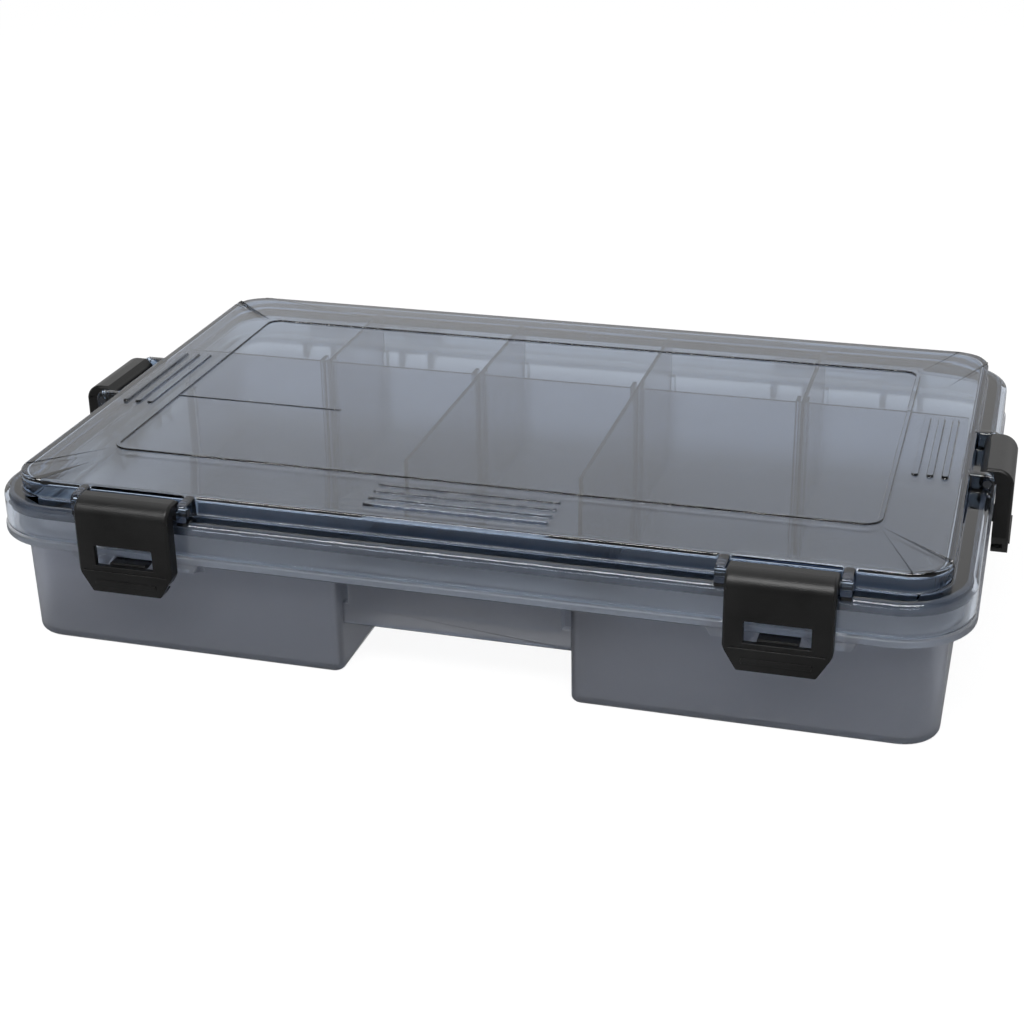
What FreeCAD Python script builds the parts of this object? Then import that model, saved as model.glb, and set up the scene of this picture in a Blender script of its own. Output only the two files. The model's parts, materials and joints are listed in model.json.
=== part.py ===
"""Flat tackle box: tub, stepped lid, seal, four cam latches on pins, two rear hinges, dividers.

Frame: X along the long side, the front is at -Y, +Z up. The origin is on the resting surface,
under the middle of the box. Millimetres.
"""
import FreeCAD, Part
import itertools
import math
import os
import Sketcher
from FreeCAD import Placement, Rotation, Vector

SIZES = [
    # lid
    ("lid_width", 360, "over the lid rim, left to right"),
    ("lid_depth", 240, "over the lid rim, front to back"),
    ("rim_corner", 27, "plan radius of the rim corners"),
    ("skirt_low", 45.8, "height of the skirt's lower edge"),
    ("rim_high", 59, "height of the ledge round the deck"),
    ("rim_round", 2.6, "rounding of the rim's outer edge"),
    ("ledge", 8.4, "width of the ledge between rim and deck"),
    ("deck_corner", 15, "plan radius of the deck corners"),
    ("deck_edge_high", 66.2, "height of the deck at its outer edge"),
    ("deck_high", 67, "height of the flat panel"),
    ("border_side", 27, "sloped border, left and right"),
    ("border_front", 33.5, "sloped border, front and back"),
    ("lid_wall", 2.2, "wall of the lid"),
    ("panel_corner", 6, "plan radius of the bead's corners"),
    ("bead_width", 1.7, "width of the bead round the panel"),
    ("bead_rise", 0.6, "height of beads over the panel"),
    ("short_bead_length", 71, "bead that runs in from the left"),
    ("short_bead_back", 20.5, "its distance in front of the middle"),
    ("side_rib_in", 13.9, "middle rib of each side group, from the deck's edge"),
    ("side_rib_pitch", 5.4, "spacing of the side ribs"),
    ("side_rib_width", 2.4, "width of a side rib"),
    ("side_rib_front", 31, "front end of the side ribs"),
    ("side_rib_back", 28, "back end of the side ribs"),
    ("front_rib_in", 7.8, "last front rib, from the deck's edge"),
    ("front_rib_pitch", 5.8, "spacing of the front ribs"),
    ("front_rib_width", 2, "width of a front rib"),
    ("front_rib_half", 34, "half length of the front ribs"),
    ("rib_rise", 0.5, "rib tops over the flat panel"),
    # tub
    ("tub_inset_side", 7.8, "tub wall in from the rim at the flange, left and right"),
    ("tub_inset_front", 9.5, "tub wall in from the rim at the flange, front and back"),
    ("tub_draft", 0.7, "how much the tub narrows to its floor, each side"),
    ("tub_corner", 14, "plan radius of the tub corners"),
    ("tub_wall", 2.4, "wall and floor of the tub"),
    ("floor_round", 2, "rounding of the tub's lower edge"),
    ("flange_low", 42.8, "underside of the flange"),
    ("flange_high", 45.5, "top of the flange"),
    ("flange_proud", 0.6, "flange beyond the lid rim"),
    ("upstand_in", 4.6, "outer face of the upstand in from the rim"),
    ("upstand_wall", 2.6, "thickness of the upstand"),
    ("upstand_high", 53.3, "top of the upstand"),
    ("notch_half", 43, "half width of the handle notch"),
    ("notch_back", 60, "back wall of the notch, in front of the middle"),
    ("notch_roof", 37.4, "underside of the roof over the notch"),
    ("pod_round", 4, "rounding of the notch's front edges"),
    ("grip_low", 19.2, "lower edge of the grip bar"),
    ("grip_step", 27.4, "height where the upper grip panel starts"),
    ("grip_inset", 4.4, "grip bar behind the tub's front face"),
    ("grip_wall", 3, "thickness of the grip bar"),
    ("grip_panel_proud", 2.2, "upper grip panel in front of the bar"),
    ("grip_panel_gap", 3.2, "gap beside the upper grip panel"),
    # seal
    ("seal_gap", 0.3, "gap between seal and upstand"),
    ("seal_play", 0.3, "play of the seal in its groove"),
    ("groove_rib_wall", 1.8, "rib inside the seal groove"),
    ("groove_rib_low", 52.5, "lower edge of that rib"),
    # latches
    ("latch_in", 62, "middle of a front latch, in from the rim's side"),
    ("latch_width", 36.8, "width of a latch"),
    ("latch_side_gap", 0.4, "gap between latch and ear"),
    ("pin_in", 2, "latch pin in from the rim"),
    ("pin_high", 62.5, "height of the latch pins"),
    ("pin_size", 3, "diameter of the latch pins"),
    ("pin_play", 0.05, "radial play on a pin"),
    ("barrel_radius", 3.2, "barrel round the pin"),
    ("latch_crown", 4.4, "top of the latch over the pin"),
    ("latch_shoulder", 6.4, "radius of the latch's shoulder"),
    ("latch_proud", 7.4, "latch face beyond the rim"),
    ("latch_wall", 2.3, "wall of a latch"),
    ("cheek_gap", 1.1, "cheeks clear of the rim"),
    ("latch_drop", 30.9, "bottom of the latch under the pin"),
    ("latch_cut_high", 8.3, "height of the cut corners"),
    ("latch_cut_wide", 5, "width of the cut corners"),
    ("latch_edge_cut", 0.9, "chamfer of its outer edges"),
    ("window_half", 11.3, "half width of the window"),
    ("window_top", 12.5, "top of the window under the pin"),
    ("window_low", 20.5, "bottom of the window under the pin"),
    ("pull_bar_drop", 27, "raised bar under the pin"),
    ("pull_bar_high", 1.7, "height of the raised bar"),
    ("pull_bar_half", 12, "half length of the raised bar"),
    ("pull_bar_rise", 0.5, "how proud the raised bar stands"),
    ("groove_drop", 22.2, "score line under the pin"),
    ("groove_size", 0.5, "width and depth of the score line"),
    ("hook_high", 2.4, "height of the hook"),
    ("hook_half", 7, "half width of the hook"),
    ("hook_in", 1.2, "hook tip inside the rim line"),
    ("hook_gap", 0.3, "gap between hook and flange"),
    ("ear_wall", 4, "thickness of an ear"),
    ("ear_round", 2.6, "rounding of an ear's outer corner"),
    ("ear_low", 57.4, "lower end of an ear"),
    ("ear_proud", 0.4, "ear beyond the rim"),
    # stops beside the hooks, and gussets
    ("stop_low", 39.4, "underside of a stop"),
    ("stop_proud", 0.4, "stop beyond the rim"),
    ("stop_inner", 7.8, "inner end of a stop, from the latch middle"),
    ("stop_outer", 25.6, "outer end of a stop, from the latch middle"),
    ("stop_slant", 2.2, "slant of its ends"),
    ("gusset_wall", 2, "thickness of a gusset"),
    ("gusset_low", 35, "lower tip of a gusset"),
    ("gusset_inner", 11.5, "inner gussets, from the latch middle"),
    ("gusset_outer", 22.2, "outer gussets, from the latch middle"),
    # hinges
    ("hinge_in", 69, "middle of a hinge, in from the rim's side"),
    ("hinge_half", 32, "half length of a hinge"),
    ("hinge_middle", 31.2, "length of the lid's knuckle"),
    ("hinge_gap", 0.4, "gap between knuckles"),
    ("hinge_high", 50, "height of the hinge axis"),
    ("knuckle_radius", 3.6, "radius of a knuckle"),
    ("hinge_pin_size", 3, "diameter of a hinge pin"),
    ("hinge_clear", 0.4, "hinge bracket clear of the rim"),
    # dividers
    ("divider_wall", 1.6, "thickness of a divider"),
    ("divider_high", 62.4, "top of the dividers"),
    ("nub_high", 63.9, "top of the slot nubs"),
    ("divider_play", 0.3, "gap round a divider"),
    ("divider_lid_gap", 2.4, "its upper part clear of the lid's inner rib"),
    ("divider_cut", 1.2, "cut of a divider's lower corners"),
    ("long_divider_back", 39, "lengthwise divider behind the middle"),
    ("slot_pitch", 68, "spacing of the cross dividers"),
    ("slot_rib_wall", 1.5, "thickness of a slot rib"),
    ("slot_rib_deep", 3.4, "depth of a slot rib"),
    ("overrun", 5, "how far a cut runs past its solid"),
]

TINY = 0.001
QUARTER = math.pi / 2

doc = FreeCAD.newDocument("TackleBox")
sheet = doc.addObject("Spreadsheet::Sheet", "Sizes")
for row, (alias, number, note) in enumerate(SIZES, start=1):
    sheet.set(f"A{row}", note)
    sheet.set(f"B{row}", str(number))
    sheet.setAlias(f"B{row}", alias)
doc.recompute()


def cell(alias):
    """Expression that reads a named size."""
    return f"Sizes.{alias}"


def value(expression):
    """Number that an expression gives now."""
    return float(sheet.evalExpression(expression))


def plus(*terms):
    return "(" + " + ".join(terms) + ")"


def less(first, *rest):
    return "(" + " - ".join((first,) + rest) + ")"


def minus(term):
    return f"(-({term}))"


def half(term):
    return f"({term}) / 2"


# lines that several pieces share
RIM_X = half(cell("lid_width"))
RIM_Y = half(cell("lid_depth"))
DECK_X = less(RIM_X, cell("ledge"))
DECK_Y = less(RIM_Y, cell("ledge"))
PANEL_X = less(DECK_X, cell("border_side"))
PANEL_Y = less(DECK_Y, cell("border_front"))
TUB_X = less(RIM_X, cell("tub_inset_side"))
TUB_Y = less(RIM_Y, cell("tub_inset_front"))
FLOOR_X = less(TUB_X, cell("tub_draft"))
FLOOR_Y = less(TUB_Y, cell("tub_draft"))
ROOM_X = less(FLOOR_X, cell("tub_wall"))
ROOM_Y = less(FLOOR_Y, cell("tub_wall"))
ROOM_CORNER = less(cell("tub_corner"), cell("tub_wall"))
LEDGE_UNDER = less(cell("rim_high"), cell("lid_wall"))
SEAL_HIGH = less(LEDGE_UNDER, cell("upstand_high"), cell("seal_gap"))
SKIRT_ROOM_X = less(RIM_X, cell("lid_wall"))
SKIRT_ROOM_Y = less(RIM_Y, cell("lid_wall"))
SKIRT_ROOM_CORNER = less(cell("rim_corner"), cell("lid_wall"))
DECK_ROOM_X = less(DECK_X, cell("lid_wall"))
DECK_ROOM_Y = less(DECK_Y, cell("lid_wall"))
DECK_ROOM_CORNER = less(cell("deck_corner"), cell("lid_wall"))
LATCH_FACE = plus(cell("pin_in"), cell("latch_proud"))
EAR_IN = plus(half(cell("latch_width")), cell("latch_side_gap"))
HINGE_Y = less(plus(RIM_Y, cell("latch_proud"), cell("pull_bar_rise")), cell("knuckle_radius"))
NOTCH_WALL = less(cell("notch_back"), cell("tub_wall"))
SLOTS = [f"({share}) * {cell('slot_pitch')}" for share in (-1.5, -0.5, 0.5, 1.5)]
INNER_SLOTS = SLOTS[1:3]
LATCH_X = less(RIM_X, cell("latch_in"))
HINGE_X = less(RIM_X, cell("hinge_in"))
HINGES = [("left", minus(HINGE_X)), ("right", HINGE_X)]


def new_body(label):
    body = doc.addObject("PartDesign::Body", label)
    body.Label = label
    return body


def origin_plane(body, role):
    return next(f for f in body.Origin.OriginFeatures if f.Role == role)


def new_sketch(body, name, role, offset):
    """Sketch on one of the body's own planes, moved along that plane's normal."""
    sketch = body.newObject("Sketcher::SketchObject", name)
    sketch.AttachmentSupport = (origin_plane(body, role), [""])
    sketch.MapMode = "FlatFace"
    sketch.setExpression("AttachmentOffset.Base.z", offset)
    return sketch


def level(body, name, height):
    return new_sketch(body, name, "XY_Plane", height)


def across(body, name, x):
    """Sketch whose axes are Y and Z, at a given X."""
    return new_sketch(body, name, "YZ_Plane", x)


def along(body, name, y):
    """Sketch whose axes are X and Z, at a given Y; its normal is -Y."""
    return new_sketch(body, name, "XZ_Plane", minus(y))


def fix(sketch, geometry, point, x, y):
    """Tie a point of the sketch to two expressions."""
    for kind, expression in (("DistanceX", x), ("DistanceY", y)):
        index = sketch.addConstraint(
            Sketcher.Constraint(kind, -1, 1, geometry, point, value(expression)))
        sketch.setExpression(f"Constraints[{index}]", expression)


def polygon(sketch, points):
    """Closed outline through points given as pairs of expressions."""
    first = sketch.GeometryCount
    spots = [Vector(value(x), value(y), 0) for x, y in points]
    count = len(spots)
    for k in range(count):
        sketch.addGeometry(Part.LineSegment(spots[k], spots[(k + 1) % count]))
    for k in range(count):
        sketch.addConstraint(
            Sketcher.Constraint("Coincident", first + k, 2, first + (k + 1) % count, 1))
    for k, (x, y) in enumerate(points):
        fix(sketch, first + k, 1, x, y)


def rectangle(sketch, left, low, right, high):
    polygon(sketch, [(left, low), (right, low), (right, high), (left, high)])


def rounded(sketch, half_x, half_y, radius, mid_x="0", mid_y="0"):
    """Rectangle with round corners about a middle point."""
    first = sketch.GeometryCount
    size_x, size_y, size_r = value(half_x), value(half_y), value(radius)
    middle = Vector(value(mid_x), value(mid_y), 0)
    corners = [(1, 1), (-1, 1), (-1, -1), (1, -1)]
    arcs = []
    for k, (sx, sy) in enumerate(corners):
        centre = middle + Vector(sx * (size_x - size_r), sy * (size_y - size_r), 0)
        circle = Part.Circle(centre, Vector(0, 0, 1), size_r)
        arcs.append(Part.ArcOfCircle(circle, k * QUARTER, (k + 1) * QUARTER))
    for k, arc in enumerate(arcs):
        sketch.addGeometry(arc)
        sketch.addGeometry(Part.LineSegment(arc.EndPoint, arcs[(k + 1) % 4].StartPoint))
    for k, (sx, sy) in enumerate(corners):
        arc, line, after = first + 2 * k, first + 2 * k + 1, first + (2 * k + 2) % 8
        sketch.addConstraint(Sketcher.Constraint("Tangent", arc, 2, line, 1))
        sketch.addConstraint(Sketcher.Constraint("Tangent", line, 2, after, 1))
        fix(sketch, arc, 3, f"{mid_x} + ({sx}) * ({half_x} - {radius})",
            f"{mid_y} + ({sy}) * ({half_y} - {radius})")
        index = sketch.addConstraint(Sketcher.Constraint("Radius", arc, size_r))
        sketch.setExpression(f"Constraints[{index}]", radius)


def ring_circle(sketch, x, y, radius):
    index = sketch.addGeometry(
        Part.Circle(Vector(value(x), value(y), 0), Vector(0, 0, 1), value(radius)))
    fix(sketch, index, 3, x, y)
    held = sketch.addConstraint(Sketcher.Constraint("Radius", index, value(radius)))
    sketch.setExpression(f"Constraints[{held}]", radius)


def extrude(kind, body, sketch, length, both=False, back=False):
    """Pad or Pocket of a sketch; both makes it symmetric, back turns its direction."""
    feature = body.newObject(f"PartDesign::{kind}", f"{sketch.Name}_{kind}")
    feature.Profile = sketch
    feature.setExpression("Length", length)
    if both:
        feature.SideType = "Symmetric"
    feature.Reversed = back
    return feature


def pad(body, sketch, length, both=False, back=False):
    return extrude("Pad", body, sketch, length, both, back)


def pocket(body, sketch, length, both=False, back=False):
    return extrude("Pocket", body, sketch, length, both, back)


def dress_up(kind, body, name, wanted, family="Edges"):
    """Fillet, Draft or Thickness on those edges or faces of the last feature that a test picks."""
    doc.recompute()
    base = body.Tip
    found = [f"{family[:-1]}{k}" for k, shape in enumerate(getattr(base.Shape, family), start=1)
             if wanted(shape)]
    if not found:
        raise ValueError(f"{body.Label}: nothing found for {name}")
    feature = body.newObject(f"PartDesign::{kind}", name)
    feature.Base = (base, found)
    return feature


def fillet(body, name, radius, wanted):
    feature = dress_up("Fillet", body, name, wanted)
    feature.setExpression("Radius", radius)
    return feature


def at_height(shape, height):
    """True for an edge or face that lies level at a height."""
    box = shape.BoundBox
    return box.ZLength < TINY and abs(box.ZMin - height) < TINY



def make_tub_shell():
    """Tub with its drafted walls, handle notch, flange, upstand and grip."""
    body = new_body("tub_shell")
    wall = cell("tub_wall")
    outline = level(body, "TubOutline", "0")
    rounded(outline, FLOOR_X, FLOOR_Y, cell("tub_corner"))
    pad(body, outline, cell("flange_high"))
    draft = dress_up("Draft", body, "TubDraft",
                     lambda face: face.BoundBox.ZLength > value(cell("floor_round")), "Faces")
    draft.NeutralPlane = (origin_plane(body, "XY_Plane"), [""])
    draft.setExpression("Angle", f"atan({cell('tub_draft')} / {cell('flange_high')})")
    draft.Reversed = True
    notch = level(body, "Notch", cell("notch_roof"))
    rectangle(notch, minus(cell("notch_half")), minus(plus(TUB_Y, cell("overrun"))),
              cell("notch_half"), minus(cell("notch_back")))
    pocket(body, notch, plus(cell("notch_roof"), cell("overrun")))
    fillet(body, "PodRound", cell("pod_round"), is_pod_edge)
    fillet(body, "TubFloorRound", cell("floor_round"), lambda edge: at_height(edge, 0))
    bay = plus(cell("notch_half"), wall)
    room = level(body, "Room", cell("flange_high"))
    room_outline(room, bay)
    pocket(body, room, less(cell("flange_high"), wall))
    shelf = level(body, "Shelf", cell("flange_high"))
    rectangle(shelf, minus(bay), minus(ROOM_Y), bay, minus(half(cell("notch_back"))))
    pocket(body, shelf, less(cell("flange_high"), plus(cell("notch_roof"), wall)))

    flange = level(body, "Flange", cell("flange_low"))
    proud = cell("flange_proud")
    rounded(flange, plus(RIM_X, proud), plus(RIM_Y, proud), plus(cell("rim_corner"), proud))
    rounded(flange, less(TUB_X, half(wall)), less(TUB_Y, half(wall)),
            less(cell("tub_corner"), half(wall)))
    pad(body, flange, less(cell("flange_high"), cell("flange_low")))

    upstand = level(body, "Upstand", cell("flange_high"))
    outer_x, outer_y = less(RIM_X, cell("upstand_in")), less(RIM_Y, cell("upstand_in"))
    corner = less(cell("rim_corner"), cell("upstand_in"))
    rounded(upstand, outer_x, outer_y, corner)
    rib = cell("upstand_wall")
    rounded(upstand, less(outer_x, rib), less(outer_y, rib), less(corner, rib))
    pad(body, upstand, less(cell("upstand_high"), cell("flange_high")))

    for name, low, high, half_x, proud in (
            ("GripBar", cell("grip_low"), cell("grip_step"), cell("notch_half"), "0"),
            ("GripPanel", cell("grip_step"), cell("notch_roof"),
             less(cell("notch_half"), cell("grip_panel_gap")), cell("grip_panel_proud"))):
        grip = level(body, name, low)
        face = less(TUB_Y, cell("grip_inset"))
        rectangle(grip, minus(half_x), minus(plus(face, proud)), half_x,
                  minus(less(face, cell("grip_wall"))))
        pad(body, grip, less(high, low))
    return body


def is_pod_edge(edge):
    """Upright edges where the notch meets the tub's front face."""
    box = edge.BoundBox
    beside = abs(abs(edge.CenterOfMass.x) - value(cell("notch_half"))) < TINY
    front = box.YMax < -value(less(TUB_Y, cell("tub_wall")))
    return beside and front and box.ZLength > value(half(cell("notch_roof")))


def room_outline(sketch, bay):
    """Inside of the tub: round corners, and a bay in front for the handle notch."""
    rounded(sketch, ROOM_X, ROOM_Y, ROOM_CORNER)
    front = next(k for k, line in enumerate(sketch.Geometry)
                 if isinstance(line, Part.LineSegment) and line.StartPoint.y < 0
                 and abs(line.StartPoint.y - line.EndPoint.y) < TINY)
    sketch.delGeometries([front])
    first = sketch.GeometryCount
    shore, back = minus(ROOM_Y), minus(NOTCH_WALL)
    points = [(minus(less(ROOM_X, ROOM_CORNER)), shore), (minus(bay), shore), (minus(bay), back),
              (bay, back), (bay, shore), (less(ROOM_X, ROOM_CORNER), shore)]
    spots = [Vector(value(x), value(y), 0) for x, y in points]
    for start, end in zip(spots, spots[1:]):
        sketch.addGeometry(Part.LineSegment(start, end))
    for k, (x, y) in enumerate(points[:-1], start=first):
        fix(sketch, k, 1, x, y)
    fix(sketch, first + len(points) - 2, 2, *points[-1])


def slot_ribs(slot):
    """Middles of the two ribs that hold a divider."""
    shift = plus(half(cell("divider_wall")), cell("divider_play"), half(cell("slot_rib_wall")))
    return [less(slot, shift), plus(slot, shift)]


def make_rib_pair(label, room, top):
    """Two ribs beside a divider's end; the wall they stand on is at +Y, its face at room."""
    body = new_body(label)
    low = half(cell("tub_wall"))
    inner = less(room, cell("slot_rib_deep"))
    mouth = plus(half(cell("divider_wall")), cell("divider_play"))
    block = across(body, f"{label}_Block", "0")
    rectangle(block, inner, low, plus(room, low), top)
    pad(body, block, f"2 * {plus(mouth, cell('slot_rib_wall'))}", both=True)
    slot = across(body, f"{label}_Slot", "0")
    rectangle(slot, less(inner, cell("overrun")), "0", plus(room, cell("overrun")),
              plus(top, cell("overrun")))
    pocket(body, slot, f"2 * {mouth}", both=True)
    return body


def make_slots():
    """Rib pairs on the tub's walls and on the notch's back wall."""
    top = less(cell("flange_high"), half(cell("tub_wall")))
    spots = [(x, "0", ROOM_Y, top, 0) for x in SLOTS]
    spots += [("0", cell("long_divider_back"), ROOM_X, top, turn) for turn in (90, -90)]
    spots += [(x, "0", NOTCH_WALL, cell("notch_roof"), 180) for x in INNER_SLOTS]
    pairs = []
    for number, (x, y, room, high, turn) in enumerate(spots):
        pair = make_rib_pair(f"rib_pair_{number}", room, high)
        place(pair, x, y, "0", turn)
        pairs.append(pair)
    return pairs


def make_stops(label, inset):
    """Stops under the flange beside a hook; the rim line is at Y = 0, outside is -Y."""
    body = new_body(label)
    low, high = cell("stop_low"), cell("flange_low")
    blocks = along(body, f"{label}_Blocks", minus(cell("stop_proud")))
    for sign in ("-1", "1"):
        inner, outer = f"({sign}) * {cell('stop_inner')}", f"({sign}) * {cell('stop_outer')}"
        slant = f"({sign}) * {cell('stop_slant')}"
        polygon(blocks, [(inner, high), (outer, high), (less(outer, slant), low),
                         (plus(inner, slant), low)])
    pad(body, blocks, plus(cell("stop_proud"), half(inset)), back=True)
    wall = plus(inset, half(cell("tub_wall")))
    for k, (sign, spot) in enumerate(itertools.product((-1, 1), ("gusset_inner", "gusset_outer"))):
        web = across(body, f"{label}_Gusset{k}", f"({sign}) * {cell(spot)}")
        polygon(web, [("0", high), ("0", low), (wall, cell("gusset_low")), (wall, high)])
        pad(body, web, cell("gusset_wall"), both=True)
    return body


def hinge_spans():
    """Middle and length of the tub's two knuckles of a hinge, from the hinge's middle."""
    inner = plus(half(cell("hinge_middle")), cell("hinge_gap"))
    length = less(cell("hinge_half"), inner)
    middle = half(plus(cell("hinge_half"), inner))
    return [(minus(middle), length), (middle, length)]


def make_tub_knuckle(label, length):
    """One knuckle of a hinge on the tub's flange, with a gusset under each end."""
    body = new_body(label)
    axis, face = cell("hinge_high"), plus(RIM_Y, cell("hinge_clear"))
    inner, low = less(RIM_Y, cell("ledge")), cell("flange_low")
    arm = across(body, f"{label}_Arm", "0")
    polygon(arm, [(inner, low), (plus(HINGE_Y, half(cell("knuckle_radius"))), low),
                  (plus(HINGE_Y, cell("knuckle_radius")), axis), (face, axis),
                  (face, cell("flange_high")), (inner, cell("flange_high"))])
    pad(body, arm, length, both=True)
    add_knuckle(body, label, length)
    wall, proud = less(TUB_Y, half(cell("tub_wall"))), cell("stop_proud")
    for k, sign in enumerate((-1, 1)):
        spot = f"({sign}) * {half(less(length, cell('gusset_wall')))}"
        web = across(body, f"{label}_Gusset{k}", spot)
        polygon(web, [(wall, low), (wall, cell("gusset_low")), (plus(RIM_Y, proud), less(low, proud)),
                      (plus(RIM_Y, proud), low)])
        pad(body, web, cell("gusset_wall"), both=True)
    return body


def add_knuckle(body, label, length):
    """Round knuckle about the hinge axis, bored for the pin."""
    for kind, make, radius, run in (
            ("Round", pad, cell("knuckle_radius"), length),
            ("Bore", pocket, plus(half(cell("hinge_pin_size")), cell("pin_play")),
             plus(length, cell("hinge_gap")))):
        circle = across(body, f"{label}_{kind}", "0")
        ring_circle(circle, HINGE_Y, cell("hinge_high"), radius)
        make(body, circle, run, both=True)


def make_tub():
    pieces = [make_tub_shell()] + make_slots()
    for name, x, y, turn in latch_spots("0"):
        stops = make_stops(f"stops_{name}", cell("tub_inset_side" if turn else "tub_inset_front"))
        place(stops, x, y, "0", turn)
        pieces.append(stops)
    for side, hinge in HINGES:
        for k, (middle, length) in enumerate(hinge_spans()):
            knuckle = make_tub_knuckle(f"tub_knuckle_{side}{k}", length)
            place(knuckle, plus(hinge, middle), "0", "0", 0)
            pieces.append(knuckle)
    return fuse("base_tub", pieces)


def latch_spots(inward):
    """Name, X, Y and turn of each latch, on a line that runs inward of the rim."""
    x, y = less(RIM_X, inward), less(RIM_Y, inward)
    return [("front_left", minus(LATCH_X), minus(y), 0),
            ("front_right", LATCH_X, minus(y), 0),
            ("left", minus(x), "0", -90),
            ("right", x, "0", 90)]


def fuse(label, pieces):
    """One solid from several bodies."""
    whole = doc.addObject("Part::MultiFuse", label)
    whole.Label = label
    whole.Shapes = pieces
    whole.Refine = True
    return whole


def make_lid_shell():
    """Lid with its rim, stepped and sloped deck, seal groove, beads and ribs."""
    body = new_body("lid_shell")
    rim = level(body, "Rim", cell("skirt_low"))
    rounded(rim, RIM_X, RIM_Y, cell("rim_corner"))
    pad(body, rim, less(cell("rim_high"), cell("skirt_low")))
    fillet(body, "RimRound", cell("rim_round"),
           lambda edge: at_height(edge, value(cell("rim_high"))))

    deck = level(body, "Deck", LEDGE_UNDER)
    rounded(deck, DECK_X, DECK_Y, cell("deck_corner"))
    pad(body, deck, less(cell("deck_high"), LEDGE_UNDER))
    slope_border(body, along(body, "SideSlopes", "0"), PANEL_X, DECK_X, cell("lid_depth"))
    slope_border(body, across(body, "FrontSlopes", "0"), PANEL_Y, DECK_Y, cell("lid_width"))

    skirt_room = level(body, "SkirtRoom", LEDGE_UNDER)
    rounded(skirt_room, SKIRT_ROOM_X, SKIRT_ROOM_Y, SKIRT_ROOM_CORNER)
    pocket(body, skirt_room, less(LEDGE_UNDER, less(cell("skirt_low"), cell("overrun"))))
    deck_room = level(body, "DeckRoom", less(cell("deck_edge_high"), cell("lid_wall")))
    rounded(deck_room, DECK_ROOM_X, DECK_ROOM_Y, DECK_ROOM_CORNER)
    pocket(body, deck_room, less(cell("deck_edge_high"), cell("skirt_low")))
    groove = level(body, "SealGrooveRib", cell("groove_rib_low"))
    wide = cell("groove_rib_wall")
    rounded(groove, plus(DECK_ROOM_X, wide), plus(DECK_ROOM_Y, wide), plus(DECK_ROOM_CORNER, wide))
    rounded(groove, DECK_ROOM_X, DECK_ROOM_Y, DECK_ROOM_CORNER)
    pad(body, groove, less(plus(LEDGE_UNDER, half(cell("lid_wall"))), cell("groove_rib_low")))

    add_beads(body)
    return body


def slope_border(body, sketch, inner, outer, length):
    """Cut two opposite borders of the deck down to its edge height."""
    for sign in ("-1", "1"):
        near, far = f"({sign}) * {inner}", f"({sign}) * {plus(outer, cell('overrun'))}"
        fall = f"{less(cell('deck_high'), cell('deck_edge_high'))} / {less(outer, inner)}"
        low = less(cell("deck_edge_high"), f"{fall} * {cell('overrun')}")
        polygon(sketch, [(near, cell("deck_high")), (far, low),
                         (far, plus(cell("deck_high"), cell("overrun"))),
                         (near, plus(cell("deck_high"), cell("overrun")))])
    pocket(body, sketch, length, both=True)


def add_beads(body):
    """Raised bead round the panel, the short bead, and the grip ribs."""
    base = less(cell("deck_edge_high"), cell("bead_rise"))
    bead_height = less(plus(cell("deck_high"), cell("bead_rise")), base)
    rib_height = less(plus(cell("deck_high"), cell("rib_rise")), base)
    bead = level(body, "PanelBead", base)
    wide = half(cell("bead_width"))
    rounded(bead, plus(PANEL_X, wide), plus(PANEL_Y, wide), plus(cell("panel_corner"), wide))
    rounded(bead, less(PANEL_X, wide), less(PANEL_Y, wide), less(cell("panel_corner"), wide))
    pad(body, bead, bead_height)
    short = level(body, "ShortBead", base)
    start = minus(PANEL_X)
    rectangle(short, start, plus(minus(cell("short_bead_back")), minus(half(wide))),
              plus(start, cell("short_bead_length")),
              plus(minus(cell("short_bead_back")), half(wide)))
    pad(body, short, less(bead_height, f"0.3 * {cell('bead_rise')}"))
    sides = level(body, "SideRibs", base)
    rib_half = half(plus(cell("side_rib_front"), cell("side_rib_back")))
    rib_middle = half(less(cell("side_rib_back"), cell("side_rib_front")))
    for sign in ("-1", "1"):
        for step in ("-1", "0", "1"):
            middle = less(DECK_X, cell("side_rib_in"))
            place = f"({sign}) * ({middle} + ({step}) * {cell('side_rib_pitch')})"
            grip_rib(sides, half(cell("side_rib_width")), rib_half, cell("side_rib_width"),
                     place, rib_middle)
    pad(body, sides, rib_height)
    front = level(body, "FrontRibs", base)
    for step in range(4):
        last = less(DECK_Y, cell("front_rib_in"))
        place = minus(less(last, f"{step} * {cell('front_rib_pitch')}"))
        grip_rib(front, cell("front_rib_half"), half(cell("front_rib_width")),
                 cell("front_rib_width"), "0", place)
    pad(body, front, rib_height)


def grip_rib(sketch, half_x, half_y, width, mid_x, mid_y):
    """Outline of a straight rib with its corners cut, about a middle point."""
    cut = f"0.3 * {width}"
    steps = [("1", "1"), ("-1", "1"), ("-1", "-1"), ("1", "-1")]
    points = []
    for k, (sx, sy) in enumerate(steps):
        beside = (f"{mid_x} + ({sx}) * {half_x}", f"{mid_y} + ({sy}) * {less(half_y, cut)}")
        ahead = (f"{mid_x} + ({sx}) * {less(half_x, cut)}", f"{mid_y} + ({sy}) * {half_y}")
        points += [beside, ahead] if k % 2 == 0 else [ahead, beside]
    polygon(sketch, points)


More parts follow.
